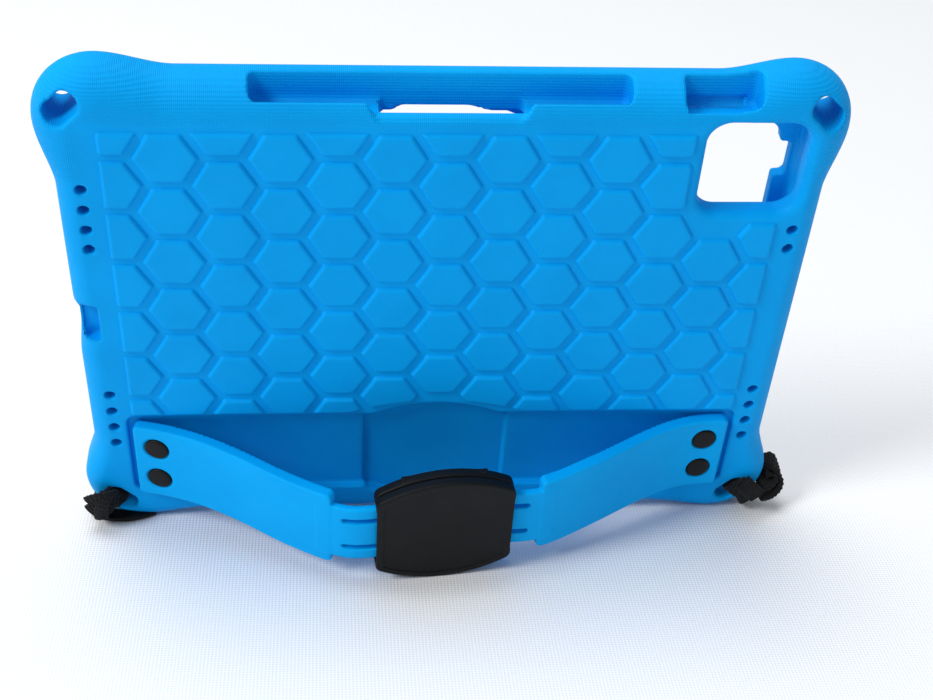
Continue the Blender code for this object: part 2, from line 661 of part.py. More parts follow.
def build_case():
    frame = empty("case_frame", None)
    build_shell(frame)
    build_rivets(frame)
    for side in (-1, 1):
        strap_root(side, frame)
        corner_band(side, frame)
    standing_loop(frame)
    lying_loop(frame)
    bends = {}
    for side, slope in ((-1, ARM_ANGLE_LEFT), (1, ARM_ANGLE_RIGHT)):
        word = "left" if side < 0 else "right"
        swing = math.radians(slope)
        place = Vector((side * ARM_AXIS, STRAP_OUT, STRAP_Z))
        arm_frame = empty("arm_axis_" + word, frame, place, turn_z=side * swing)
        strap_arm(side, arm_frame)
        bends[side] = place + Vector((-side * math.cos(swing), -math.sin(swing), 0.0)) * ARM_LENGTH
    across = bends[1] - bends[-1]
    tilt = math.atan2(across.y, across.x)
    for side in (-1, 1):
        word = "left" if side < 0 else "right"
        strap_tongue(side, empty("tongue_axis_" + word, frame, bends[side], turn_z=tilt))
    middle = bends[-1] + across.normalized() * BUCKLE_REACH
    build_buckle(empty("buckle_frame", frame, middle, turn_z=tilt))
    return frame


def stand(frame):
    """Lean the case on its strap, and set it centred on the ground."""
    frame.rotation_euler = (math.radians(LEAN), 0.0, 0.0)
    bpy.context.view_layer.update()
    graph = bpy.context.evaluated_depsgraph_get()
    corners = []
    for thing in PARTS.objects:
        if thing.type == "MESH":
            solid = thing.evaluated_get(graph)
            corners += [solid.matrix_world @ vertex.co for vertex in solid.data.vertices]
    low = Vector([min(c[k] for c in corners) for k in range(3)])
    high = Vector([max(c[k] for c in corners) for k in range(3)])
    frame.location = (-(low.x + high.x) / 2, -(low.y + high.y) / 2, -low.z)
    bpy.context.view_layer.update()


stand(build_case())
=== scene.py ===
"""Looks of the foam tablet case that stands on its pulled-out hand strap.

Lengths are in millimetres in the case's own frame (X across, Z up the case, -Y out of
its back) until place() or a CASE matrix turns them into metres in the row frame.
"""

import json
import math

import bmesh
import bpy
import numpy as np
from mathutils import Matrix, Vector


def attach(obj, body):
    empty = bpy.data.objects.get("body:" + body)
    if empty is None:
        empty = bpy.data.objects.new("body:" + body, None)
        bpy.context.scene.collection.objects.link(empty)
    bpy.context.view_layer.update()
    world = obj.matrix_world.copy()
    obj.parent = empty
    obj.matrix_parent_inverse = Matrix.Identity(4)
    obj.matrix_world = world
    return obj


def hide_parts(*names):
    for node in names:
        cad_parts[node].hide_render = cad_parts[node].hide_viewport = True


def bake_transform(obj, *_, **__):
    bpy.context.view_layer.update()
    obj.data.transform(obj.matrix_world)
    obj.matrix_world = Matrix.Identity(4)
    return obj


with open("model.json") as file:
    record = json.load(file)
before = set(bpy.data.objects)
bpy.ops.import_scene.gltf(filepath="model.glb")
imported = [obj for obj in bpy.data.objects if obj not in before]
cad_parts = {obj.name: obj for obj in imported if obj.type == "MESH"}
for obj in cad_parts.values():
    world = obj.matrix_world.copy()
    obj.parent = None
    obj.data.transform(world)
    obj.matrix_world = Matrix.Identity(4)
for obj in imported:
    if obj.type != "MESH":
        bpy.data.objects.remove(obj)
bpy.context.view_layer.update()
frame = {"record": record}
MM = 0.001

# ---------------------------------------------------------------- dimensions
# Pairs are a span's low and high end along the axis in the name.
OUTSIDE = 20.0                  # how far a cutter starts or ends beyond the foam
THROUGH = 2.0                   # how far a cutter goes on into an open space

HALF_W = 133.8                  # shell at its waist
SHELL_H = 204.8
SHELL_T = 22.0
EDGE_R = 8.0
SHOULDER_R = 13.5               # back edge along the top of the case
SHOULDER_RUN = (165.0, 190.0)   # heights where that edge grows from EDGE_R
CORNER_R = 22.0
BUMP_SIDE, BUMP_TOP, BUMP_FOOT = 5.7, 4.5, 3.4      # how far the corner bumpers stand out
BUMP_RUN_SIDE, BUMP_RUN_TOP = 24.0, 26.0            # length of their run-outs
CAVITY_HALF_W = 124.3           # the tablet's bay
CAVITY_Y = (10.0, 16.6)
CAVITY_Z = (10.0, 189.5)
LIP = 6.0                       # how far the front lip reaches over the screen
LIP_BACK = 15.0                 # y behind which the lip's window isn't cut
SENSOR_NOTCH_X, SENSOR_NOTCH_Z = 110.0, (160.0, 174.5)
RECESS_HALF_W = 119.5
RECESS_Z = (15.5, 57.0)
RECESS_D = 2.9
POCKET_HALF_W, POCKET_D = 28.0, 4.6
POCKET_END_H, POCKET_MID_H = 39.6, 55.2
CAMERA_X, CAMERA_Z = (88.0, 124.0), (154.8, 192.0)
CAMERA_CORNER_R, CAMERA_MOUTH_R = 8.0, 3.6
PENCIL_Y, VOLUME_Y = (3.0, 12.5), (1.6, 12.5)   # near and far side of the slots in the top
SLOT_FLOOR = 193.0
PENCIL_X = (-67.2, 60.8)
SCOOP_X, SCOOP_Z = (-27.2, 26.0), (192.9, 195.1)    # its width, and its floor's rise inwards
SCOOP_SPREAD, SCOOP_WAIST = 0.53, 197.0     # lean of its ends, and the height of SCOOP_X
WINDOW_X, WINDOW_Y = (-24.0, 25.0), (6.0, 12.5)
LIP_NOTCH_WAIST = (-24.0, 24.0, 185.0)      # its ends lean in above this height
LIP_NOTCH_TOP = (-17.0, 8.0, 191.4)
VOLUME_X = (78.7, 105.0)
VOLUME_HOLE_X = (80.0, 101.0)
VOLUME_HOLE_Y = (10.5, 14.5)
SIDE_HOLE_Y = (9.0, 17.5)
PORT_Z, THUMB_Z = (96.0, 114.0), (103.5, 110.5)
PORT_MOUTH_X, PORT_MOUTH_Z = (-130.6, -124.6), (95.5, 113.0)    # recess in the back's edge
PORT_MOUTH_D = 6.5
PORT_DIP = 1.7                              # how far the outer wall stands back beside the port
PORT_DIP_Z, PORT_DIP_FOOT, PORT_DIP_TOP = (85.0, 113.5), 20.0, 5.0     # span and run-outs
SPEAKER_X, SPEAKER_D, SPEAKER_PITCH = 124.5, 4.0, 8.6
SPEAKER_LOW, SPEAKER_HIGH = 42.5, 139.0
LANYARD_LENGTH, LANYARD_WIDTH = 14.0, 8.0
LANYARD_TOP, LANYARD_FOOT = (128.0, 195.6), (125.5, 10.3)

STRAP_Z = 35.1
STRAP_W, STRAP_T = 37.0, 5.0
TONGUE_W, TONGUE_T = 27.8, 3.0
STRAP_OUT = -0.1                # y of the strap's mid-plane where it lies flat
SLIT_OFFSET, SLIT_W = 7.2, 2.4
SLIT_SPAN = (1.2, 20.0)         # middles of a slit's round ends, from its start
RIVET_X, RIVET_OFFSET = 108.1, 8.2
RIVET_BASE_D, RIVET_SHANK_D = 9.0, 3.2
RIVET_GAP = 0.3
RIVET_SEAT_R, RIVET_SEAT_D = 5.3, 0.9

BUCKLE_HALF_W, BUCKLE_END_H, BUCKLE_MID_H = 26.6, 37.2, 52.8
BUCKLE_T, BUCKLE_WALL, MOUTH_W = 8.6, 1.3, 28.8
BASE_PLATE_HALF_W = 20.6        # the base's plate stops short, so that the strap can bend
LEAD_IN_X, LEAD_IN_SLOPE = 23.5, 0.2        # where the cover's channel starts to flare
BUCKLE_FROM_BEND = 36.0         # from the left tongue's bend to the buckle's middle

JOINTS = {joint["name"]: joint for joint in frame["record"]["behaviour"]["joints"]}
SIDES = {-1: "left", 1: "right"}


# ---------------------------------------------------------------- frames
def frame_matrix(origin, x_axis, z_axis):
    x_axis = Vector(x_axis).normalized()
    z_axis = Vector(z_axis).normalized()
    y_axis = z_axis.cross(x_axis)
    matrix = Matrix((x_axis, y_axis, z_axis)).transposed().to_4x4()
    matrix.translation = Vector(origin)
    return matrix


UP = Vector(JOINTS["strap_fold"]["axis"])
CASE = frame_matrix((0, 0, 0), (1, 0, 0), UP)
UP_LEAN = -UP.y                 # rise of the case's y axis above the ground, per length
FOLD = Vector(JOINTS["strap_fold"]["pos_m"])
ARM_AXIS = 100.5
CASE.translation = FOLD - CASE.to_3x3() @ (Vector((-ARM_AXIS, STRAP_OUT, STRAP_Z)) * MM)
BEND = {side: CASE.inverted() @ Vector(JOINTS["tongue_bend_" + word]["pos_m"]) / MM
        for side, word in SIDES.items()}
ACROSS = (BEND[1] - BEND[-1]).normalized()
BUCKLE_MIDDLE = BEND[-1] + ACROSS * BUCKLE_FROM_BEND
BUCKLE = frame_matrix(CASE @ (BUCKLE_MIDDLE * MM), CASE.to_3x3() @ ACROSS, UP)


def place(point, matrix=CASE):
    """A point given in millimetres of a frame, in metres of the row frame."""
    return matrix @ (Vector(point) * MM)


# ---------------------------------------------------------------- implicit solids
# A field is below zero inside a solid, and close to the distance from its surface.
FAR = 1e3


def ease(t):
    """Goes smoothly from 0 to 1 while t does."""
    t = np.clip(t, 0.0, 1.0)
    return t * t * (3 - 2 * t)


def slab(v, low, high):
    """Everything between two planes."""
    return np.abs(v - (low + high) / 2) - (high - low) / 2


def box2(a, b, a_span, b_span, radius=0.0):
    """A rectangle with round corners."""
    qa = slab(a, *a_span) + radius
    qb = slab(b, *b_span) + radius
    corner = np.hypot(np.maximum(qa, 0), np.maximum(qb, 0))
    return corner + np.minimum(np.maximum(qa, qb), 0) - radius


def capsule2(a, b, start, end, radius):
    """Distance from a slot with round ends between two points."""
    da, db = end[0] - start[0], end[1] - start[1]
    t = np.clip(((a - start[0]) * da + (b - start[1]) * db) / (da * da + db * db), 0, 1)
    return np.hypot(a - start[0] - t * da, b - start[1] - t * db) - radius


def both(a, b, radius=0.0):
    """Intersection with a round edge."""
    if np.isscalar(radius) and radius == 0.0:
        return np.maximum(a, b)
    corner = np.hypot(np.maximum(a + radius, 0), np.maximum(b + radius, 0))
    return np.minimum(-radius, np.maximum(a, b)) + corner


def joined(a, b, radius=0.0):
    """Union with a filleted corner."""
    return -both(-a, -b, radius)


def without(a, b, radius=0.0):
    """a less b, with its new edge rounded."""
    return both(a, -b, radius)


def barrel2(a, b, half_w, end_h, mid_h, radius):
    """Outline with straight ends and bowed top and foot, centred on 0."""
    rise = (mid_h - end_h) / 2
    bow = (half_w ** 2 + rise ** 2) / (2 * rise)
    arch = np.hypot(a, np.abs(b) + bow - mid_h / 2) - bow
    return both(np.abs(a) - half_w, arch, radius)


def surface_net(field, low, high, step):
    """Vertices and quads of the zero surface of a field inside a box, with each vertex
    moved on to the surface along the field's gradient."""
    axes = [np.arange(a, b + step, step) for a, b in zip(low, high)]
    shape = tuple(len(axis) for axis in axes)
    values = np.empty(shape)
    rows = 24                   # planes worked out at a time, to save memory
    for first in range(0, shape[0], rows):
        x, y, z = np.meshgrid(axes[0][first:first + rows], axes[1], axes[2], indexing="ij")
        values[first:first + rows] = field(x, y, z)
    inside = values < 0
    total = np.zeros(tuple(n - 1 for n in shape) + (3,))
    count = np.zeros(tuple(n - 1 for n in shape))
    crossings = []
    for axis in range(3):
        head = [slice(None)] * 3
        tail = [slice(None)] * 3
        head[axis], tail[axis] = slice(None, -1), slice(1, None)
        v0, v1 = values[tuple(head)], values[tuple(tail)]
        i, j, k = np.nonzero(inside[tuple(head)] != inside[tuple(tail)])
        t = v0[i, j, k] / (v0[i, j, k] - v1[i, j, k])
        point = np.stack([axes[0][i], axes[1][j], axes[2][k]], axis=1)
        point[:, axis] += t * step
        index = np.stack([i, j, k], axis=1)
        crossings.append((axis, index, inside[tuple(head)][i, j, k]))
        u, w = (axis + 1) % 3, (axis + 2) % 3
        for du in (0, 1):
            for dw in (0, 1):
                cell = index.copy()
                cell[:, u] -= du
                cell[:, w] -= dw
                ok = ((cell >= 0) & (cell < np.array(shape) - 1)).all(axis=1)
                place_in = tuple(cell[ok].T)
                np.add.at(total, place_in, point[ok])
                np.add.at(count, place_in, 1)
    used = count > 0
    number = np.full(count.shape, -1)
    number[used] = np.arange(used.sum())
    points = total[used] / count[used][:, None]
    faces = []
    for axis, index, starts_inside in crossings:
        u, w = (axis + 1) % 3, (axis + 2) % 3
        corners = []
        for du, dw in ((0, 0), (1, 0), (1, 1), (0, 1)):
            cell = index.copy()
            cell[:, u] -= du
            cell[:, w] -= dw
            corners.append(number[tuple(cell.T)])
        quad = np.stack(corners, axis=1)
        quad[~starts_inside] = quad[~starts_inside][:, ::-1]
        faces.append(quad)
    return settle(field, points, step), np.concatenate(faces)


def gradient(field, points, reach=0.03):
    """The field's slope at each point, by central differences."""
    slopes = []
    for axis in range(3):
        offset = np.zeros(3)
        offset[axis] = reach
        ahead, behind = points + offset, points - offset
        slopes.append((field(*ahead.T) - field(*behind.T)) / (2 * reach))
    return np.stack(slopes, axis=1)


def settle(field, points, step, rounds=4):
    """The points moved on to the field's zero surface, each by one step at the most."""
    start = points.copy()
    for _ in range(rounds):
        slope = gradient(field, points)
        size = np.maximum((slope ** 2).sum(axis=1), 0.05)
        points = points - (field(*points.T) / size)[:, None] * slope
        points = start + np.clip(points - start, -step, step)
    return points


# ---------------------------------------------------------------- making objects
def make_object(name, points, faces, material, matrix=CASE, smooth_angle=None):
    """A mesh object from points in millimetres of a frame."""
    mesh = bpy.data.meshes.new(name)
    mesh.from_pydata((np.asarray(points, float) * MM).tolist(), [], [list(map(int, f)) for f in faces])
    mesh.materials.append(material)
    thing = bpy.data.objects.new(name, mesh)
    thing.matrix_world = matrix
    bpy.context.scene.collection.objects.link(thing)
    mesh.shade_smooth()
    if smooth_angle is not None:
        mesh.set_sharp_from_angle(angle=math.radians(smooth_angle))
    return thing


def sculpt(name, field, low, high, step, material, matrix=CASE):
    """An object on the surface of a field, shaded by the field's own slope."""
    points, faces = surface_net(field, low, high, step)
    thing = make_object(name, points, faces, material, matrix)
    slope = gradient(field, points)
    slope /= np.maximum(np.linalg.norm(slope, axis=1), 1e-6)[:, None]
    thing.data.normals_split_custom_set_from_vertices(slope.tolist())
    return thing


def edit(thing, work_on):
    """Runs work_on on the object's mesh as a bmesh."""
    work = bmesh.new()
    work.from_mesh(thing.data)
    work_on(work)
    work.to_mesh(thing.data)
    work.free()
    thing.data.update()


# ---------------------------------------------------------------- materials
class Nodes:
    """Short names for building a material's node tree."""

    def __init__(self, name, colour, roughness):
        self.material = bpy.data.materials.new(name)
        self.material.use_nodes = True
        self.tree = self.material.node_tree
        self.shader = self.tree.nodes["Principled BSDF"]
        self.shader.inputs["Base Color"].default_value = (*colour, 1.0)
        self.shader.inputs["Roughness"].default_value = roughness
        self.place = self.add("ShaderNodeTexCoord").outputs["Object"]

    def add(self, kind, **values):
        node = self.tree.nodes.new(kind)
        for key, value in values.items():
            setattr(node, key, value)
        return node

    def link(self, output, socket):
        if isinstance(output, (int, float)):
            socket.default_value = output
        else:
            self.tree.links.new(output, socket)

    def noise(self, scale, detail=2.0, rough=0.5):
        node = self.add("ShaderNodeTexNoise")
        node.inputs["Scale"].default_value = scale
        node.inputs["Detail"].default_value = detail
        node.inputs["Roughness"].default_value = rough
        self.link(self.place, node.inputs["Vector"])
        return node.outputs["Fac"]

    def math(self, operation, a, b=0.0):
        node = self.add("ShaderNodeMath", operation=operation)
        self.link(a, node.inputs[0])
        self.link(b, node.inputs[1])
        return node.outputs[0]

    def span(self, value, low, high, to_low=0.0, to_high=1.0):
        node = self.add("ShaderNodeMapRange")
        node.clamp = True
        self.link(value, node.inputs["Value"])
        for key, number in (("From Min", low), ("From Max", high),
                            ("To Min", to_low), ("To Max", to_high)):
            node.inputs[key].default_value = number
        return node.outputs["Result"]

    def axes(self):
        node = self.add("ShaderNodeSeparateXYZ")
        self.link(self.place, node.inputs[0])
        return node.outputs

    def mix(self, factor, first, second):
        node = self.add("ShaderNodeMix", data_type="RGBA")
        self.link(factor, node.inputs["Factor"])
        for socket, colour in ((node.inputs[6], first), (node.inputs[7], second)):
            if isinstance(colour, tuple):
                socket.default_value = (*colour, 1.0)
            else:
                self.link(colour, socket)
        return node.outputs[2]

    def bump(self, height, distance, strength=1.0, after=None):
        node = self.add("ShaderNodeBump")
        node.inputs["Distance"].default_value = distance
        node.inputs["Strength"].default_value = strength
        self.link(height, node.inputs["Height"])
        if after is not None:
            self.link(after, node.inputs["Normal"])
        return node.outputs["Normal"]

    def finish(self, colour=None, roughness=None, normal=None):
        for socket, value in (("Base Color", colour), ("Roughness", roughness), ("Normal", normal)):
            if value is not None:
                self.link(value, self.shader.inputs[socket])
        return self.material


def foam_material(name, light, deep, dotted):
    """Moulded EVA foam: a fine leathery grain, and on the shell a pattern of fine dots
    on the top shoulder and the corner bumpers."""
    n = Nodes(name, light, 0.5)
    cloudy = n.noise(38.0, 3.0)
    colour = n.mix(n.span(cloudy, 0.35, 0.65), deep, light)
    grain = n.noise(1500.0, 2.0)
    skin = n.noise(420.0, 2.0)
    normal = n.bump(grain, 0.00007, 0.55)
    normal = n.bump(skin, 0.00012, 0.35, normal)
    if dotted:
        x, y, z = n.axes()
        pitch = 0.0013
        turn_a = n.math("SINE", n.math("MULTIPLY", n.math("ADD", x, n.math("MULTIPLY", z, 0.58)),
                                       2 * math.pi / pitch))
        turn_b = n.math("SINE", n.math("MULTIPLY", n.math("SUBTRACT", x, n.math("MULTIPLY", z, 0.58)),
                                       2 * math.pi / pitch))
        dots = n.math("MULTIPLY", turn_a, turn_b)
        high = n.span(z, 0.1895, 0.1925)
        wide = n.span(n.math("ABSOLUTE", x), 0.119, 0.124)
        upper = n.span(z, 0.165, 0.172)
        where = n.math("MAXIMUM", high, n.math("MULTIPLY", wide, upper))
        normal = n.bump(n.math("MULTIPLY", dots, where), 0.00011, 0.8, normal)
    rough = n.span(skin, 0.3, 0.7, 0.46, 0.6)
    n.shader.inputs["Specular IOR Level"].default_value = 0.06
    return n.finish(colour, rough, normal)


def plastic_material(name, colour, roughness, grain_depth):
    """Moulded ABS with a fine spark grain and a few lighter scuffs."""
    n = Nodes(name, colour, roughness)
    grain = n.noise(2300.0, 2.0)
    scuffs = n.noise(90.0, 8.0, rough=0.75)
    worn = n.span(scuffs, 0.62, 0.72)
    lighter = tuple(2.2 * c for c in colour)
    shade = n.mix(worn, colour, lighter)
    rough = n.span(scuffs, 0.3, 0.75, roughness - 0.05, roughness + 0.12)
    n.shader.inputs["Specular IOR Level"].default_value = 0.17
    return n.finish(shade, rough, n.bump(grain, grain_depth, 0.5))


def webbing_material(name):
    """Black woven tape: two thread directions that pass over each other."""
    n = Nodes(name, (0.010, 0.010, 0.012), 0.85)
    thread = 0.0011
    x, y, z = n.axes()
    one = n.math("SINE", n.math("MULTIPLY", n.math("ADD", x, z), 2 * math.pi / thread))
    two = n.math("SINE", n.math("MULTIPLY", n.math("SUBTRACT", x, z), 2 * math.pi / thread))
    three = n.math("SINE", n.math("MULTIPLY", y, 2 * math.pi / thread))
    weave = n.math("MULTIPLY", n.math("ADD", one, three), n.math("ADD", two, 0.4))
    fuzz = n.noise(3000.0, 3.0)
    shade = n.mix(n.span(weave, -1.0, 1.6), (0.0015, 0.0015, 0.002), (0.011, 0.011, 0.013))
    normal = n.bump(fuzz, 0.0001, 0.5, n.bump(weave, 0.00022, 0.8))
    n.shader.inputs["Specular IOR Level"].default_value = 0.2
    n.shader.inputs["Sheen Weight"].default_value = 0.06
    n.shader.inputs["Sheen Roughness"].default_value = 0.5
    return n.finish(shade, n.span(fuzz, 0.3, 0.7, 0.75, 0.95), normal)


def floor_material():
    """White table cover with a very fine woven print."""
    n = Nodes("white_cover", (0.86, 0.87, 0.89), 0.62)
    x, y, z = n.axes()
    pitch = 0.0026
    one = n.math("SINE", n.math("MULTIPLY", n.math("ADD", x, y), 2 * math.pi / pitch))
    two = n.math("SINE", n.math("MULTIPLY", n.math("SUBTRACT", x, y), 2 * math.pi / pitch))
    weave = n.math("MULTIPLY", one, two)
    shade = n.mix(n.span(weave, -1.0, 1.0), (0.80, 0.815, 0.84), (0.88, 0.89, 0.905))
    return n.finish(shade, 0.6, n.bump(weave, 0.00010, 0.6))


FOAM = foam_material("eva_foam", (0.0, 0.345, 0.83), (0.0, 0.32, 0.78), True)
STRAP_FOAM = foam_material("eva_foam_strap", (0.0, 0.375, 0.85), (0.0, 0.35, 0.81), False)
BUCKLE_BLACK = plastic_material("buckle_plastic", (0.0035, 0.0040, 0.0048), 0.5, 0.00005)
RIVET_BLACK = plastic_material("rivet_plastic", (0.0040, 0.0042, 0.0050), 0.48, 0.00003)
CORD_BLACK = plastic_material("loop_tape", (0.0030, 0.0030, 0.0036), 0.34, 0.00002)
WEBBING = webbing_material("black_webbing")


# ---------------------------------------------------------------- shell
def outline2(x, z):
    """The shell's outline, with its four corner bumpers."""
    run_high = SHELL_H + BUMP_TOP - CORNER_R - BUMP_RUN_SIDE
    run_low = CORNER_R - BUMP_FOOT + BUMP_RUN_SIDE
    bump = ease((z - run_high) / BUMP_RUN_SIDE) + ease((run_low - z) / BUMP_RUN_SIDE)
    side = HALF_W + BUMP_SIDE * bump
    across = np.abs(x)
    ends = ease((across - (HALF_W + BUMP_SIDE - CORNER_R - BUMP_RUN_TOP)) / BUMP_RUN_TOP)
    top, foot = SHELL_H + BUMP_TOP * ends, -BUMP_FOOT * ends
    qx = across - side + CORNER_R
    qz = np.abs(z - (top + foot) / 2) - (top - foot) / 2 + CORNER_R
    return np.hypot(np.maximum(qx, 0), np.maximum(qz, 0)) + np.minimum(np.maximum(qx, qz), 0) - CORNER_R


def speaker_places():
    places = []
    for k in range(4):
        places.append((-SPEAKER_X, SPEAKER_LOW + k * SPEAKER_PITCH))
        places.append((SPEAKER_X, SPEAKER_LOW + k * SPEAKER_PITCH))
        places.append((-SPEAKER_X, SPEAKER_HIGH + k * SPEAKER_PITCH))
    for k in range(2):
        places.append((SPEAKER_X, SPEAKER_HIGH + k * SPEAKER_PITCH))
    return places


def rivet_places():
    return [(side * RIVET_X, STRAP_Z + level * RIVET_OFFSET) for side in (-1, 1) for level in (-1, 1)]


def shell_body(x, y, z):
    """The foam block and the tablet's bay, open at the front inside the lip."""
    low, high = PORT_DIP_Z
    dip = ease((z - low) / PORT_DIP_FOOT) * ease((high - z) / PORT_DIP_TOP)
    outline = outline2(x, z) + PORT_DIP * np.where(x < 0.0, dip, 0.0)
    low, high = SHOULDER_RUN
    shoulder = EDGE_R + (SHOULDER_R - EDGE_R) * ease((z - low) / (high - low))
    body = np.maximum(both(outline, -y, shoulder), both(outline, y - SHELL_T, EDGE_R))
    cavity = both(box2(x, z, (-CAVITY_HALF_W, CAVITY_HALF_W), CAVITY_Z, 5.0), slab(y, *CAVITY_Y), 0.8)
    window = box2(x, z, (-CAVITY_HALF_W + LIP, CAVITY_HALF_W - LIP),
                  (CAVITY_Z[0] + LIP, CAVITY_Z[1] - LIP), 8.0)
    sensor_notch = box2(x, z, (SENSOR_NOTCH_X, CAVITY_HALF_W - LIP + 4.5), SENSOR_NOTCH_Z, 2.0)
    window = joined(window, sensor_notch, 1.5)
    window = both(window, slab(y, LIP_BACK, SHELL_T + 18.0))
    return without(body, joined(cavity, window, 0.6), 1.2)


def lip_notch(x, y, z):
    """Notch in the front lip, on under the far wall of the stylus slot."""
    left, right, waist = LIP_NOTCH_WAIST
    top_left, top_right, top = LIP_NOTCH_TOP
    rise = top - waist
    lean_left = (left - x) * rise + (top_left - left) * (z - waist)
    lean_right = (x - right) * rise + (right - top_right) * (z - waist)
    ends = np.maximum(np.maximum(lean_left / math.hypot(rise, top_left - left),
                                 lean_right / math.hypot(rise, right - top_right)),
                      slab(x, left, right))
    return both(both(ends, slab(z, waist - 8.0, top), 0.8), slab(y, 12.0, SHELL_T + 18.0))


def strap_recess(x, y, z):
    """The shallow recess that the strap folds into, with the buckle's deeper pocket."""
    recess = both(box2(x, z, (-RECESS_HALF_W, RECESS_HALF_W), RECESS_Z, 4.0),
                  slab(y, -OUTSIDE, RECESS_D), 0.8)
    pocket = both(barrel2(x, z - STRAP_Z, POCKET_HALF_W, POCKET_END_H, POCKET_MID_H, 2.0),
                  slab(y, -OUTSIDE, POCKET_D), 0.8)
    return joined(recess, pocket, 0.9)


def top_slots(x, y, z):
    """The stylus trough with its scooped near wall, and the slot for the volume buttons."""
    above_floor = slab(z, SLOT_FLOOR, 260.0)
    pencil = both(box2(x, y, PENCIL_X, PENCIL_Y, 2.6), above_floor, 3.0)
    slope = (SCOOP_Z[1] - SCOOP_Z[0]) / PENCIL_Y[0]
    above = (SCOOP_Z[0] + slope * y - z) / math.hypot(1, slope)
    half_w = (SCOOP_X[1] - SCOOP_X[0]) / 2
    flank = np.abs(x - sum(SCOOP_X) / 2) - half_w - SCOOP_SPREAD * (z - SCOOP_WAIST)
    scoop = both(both(flank / 1.13, above, 1.5), slab(y, -OUTSIDE, PENCIL_Y[0] + 2.5))
    volume = both(box2(x, y, VOLUME_X, VOLUME_Y, 2.4), above_floor, 2.0)
    return np.minimum(joined(pencil, scoop, 0.6), volume)


def speaker_holes(x, y, z):
    """Speaker holes through the rear wall."""
    drills = np.full_like(x, FAR)
    for px, pz in speaker_places():
        drills = np.minimum(drills, np.hypot(x - px, z - pz) - SPEAKER_D / 2)
    return both(drills, slab(y, -OUTSIDE, CAVITY_Y[0] + THROUGH))


def rivet_holes(x, y, z):
    """Holes for the rivets' shanks, with a counterbore for each base."""
    sockets = np.full_like(x, FAR)
    end = CAVITY_Y[0] + 4.0
    for px, pz in rivet_places():
        near = np.hypot(x - px, z - pz)
        base = both(near - RIVET_BASE_D / 2 - RIVET_GAP, slab(y, CAVITY_Y[0] - 1.9, end))
        sockets = np.minimum(sockets, np.minimum(near - RIVET_SHANK_D / 2 - RIVET_GAP, base))
    return both(sockets, slab(y, -OUTSIDE, end))


def lanyard_slots(x, y, z):
    """A slanted slot with round ends through each corner bumper."""
    reach = (LANYARD_LENGTH - LANYARD_WIDTH) / 2 * math.sqrt(0.5)
    across = np.abs(x)
    slots = []
    for (px, pz), rise in ((LANYARD_TOP, -1), (LANYARD_FOOT, 1)):
        slots.append(capsule2(across, z, (px - reach, pz - rise * reach),
                              (px + reach, pz + rise * reach), LANYARD_WIDTH / 2))
    return np.minimum(*slots)


def shell_field(x, y, z):
    body = shell_body(x, y, z)
    body = without(body, strap_recess(x, y, z), 1.0)
    rear_wall = slab(y, -OUTSIDE, CAVITY_Y[0] + THROUGH)
    camera = both(box2(x, z, CAMERA_X, CAMERA_Z, CAMERA_CORNER_R), rear_wall)
    body = without(body, camera, CAMERA_MOUTH_R)
    body = without(body, top_slots(x, y, z), 1.0)
    top_wall = slab(z, CAVITY_Z[1] - THROUGH, SLOT_FLOOR + 3.0)
    stylus_window = both(box2(x, y, WINDOW_X, WINDOW_Y, 1.5), top_wall)
    volume_hole = both(box2(x, y, VOLUME_HOLE_X, VOLUME_HOLE_Y, 1.2), top_wall)
    body = without(body, np.minimum(np.minimum(stylus_window, lip_notch(x, y, z)), volume_hole), 0.5)
    left_wall = slab(x, -HALF_W - OUTSIDE, -CAVITY_HALF_W + THROUGH)
    right_wall = slab(x, CAVITY_HALF_W - THROUGH, HALF_W + OUTSIDE)
    port = both(box2(y, z, SIDE_HOLE_Y, PORT_Z, 2.5), left_wall)
    thumb = both(box2(y, z, SIDE_HOLE_Y, THUMB_Z, 2.5), right_wall)
    body = without(body, np.minimum(port, thumb), 1.5)
    port_mouth = both(box2(x, z, PORT_MOUTH_X, PORT_MOUTH_Z, 2.0), slab(y, -OUTSIDE, PORT_MOUTH_D), 0.8)
    body = without(body, port_mouth, 0.6)
    body = without(body, speaker_holes(x, y, z), 0.6)
    body = without(body, rivet_holes(x, y, z), 0.3)
    return without(body, lanyard_slots(x, y, z), 1.4)


def build_shell():
    step = 1.1
    margin = 2.0
    low = (-HALF_W - BUMP_SIDE - margin, -margin, -BUMP_FOOT - margin)
    high = (HALF_W + BUMP_SIDE + margin, SHELL_T + margin, SHELL_H + BUMP_TOP + margin)
    shell = sculpt("shell_foam", shell_field, low, high, step, FOAM)
    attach(shell, "case")
    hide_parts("shell")


# ---------------------------------------------------------------- honeycomb pads
HEX_SIDE = 12.8
HEX_PITCH = HEX_SIDE * math.sqrt(3)
HEX_FIRST = (-114.56, 189.44)   # middle of the cell at the panel's upper left corner
GROOVE = 4.0                    # width between two pads
PANEL_X, PANEL_Z = (-116.7, 117.5), (58.9, 187.9)
PAD_LEAST_AREA = 30.0           # smaller corners of cells are left plain
# A pad's edge from its foot up: offset from the pad's outline, and height above the back.
PAD_PROFILE = ((0.85, -0.3), (0.6, 0.15), (0.25, 0.75), (-0.1, 1.12), (-0.5, 1.27), (-0.85, 1.3),
               (-1.15, 1.3))


def smooth_max(a, b, k):
    """The larger of two, with the change from one to the other spread over k."""
    h = np.maximum(k - np.abs(a - b), 0.0) / k
    return np.maximum(a, b) + h * h * k / 4


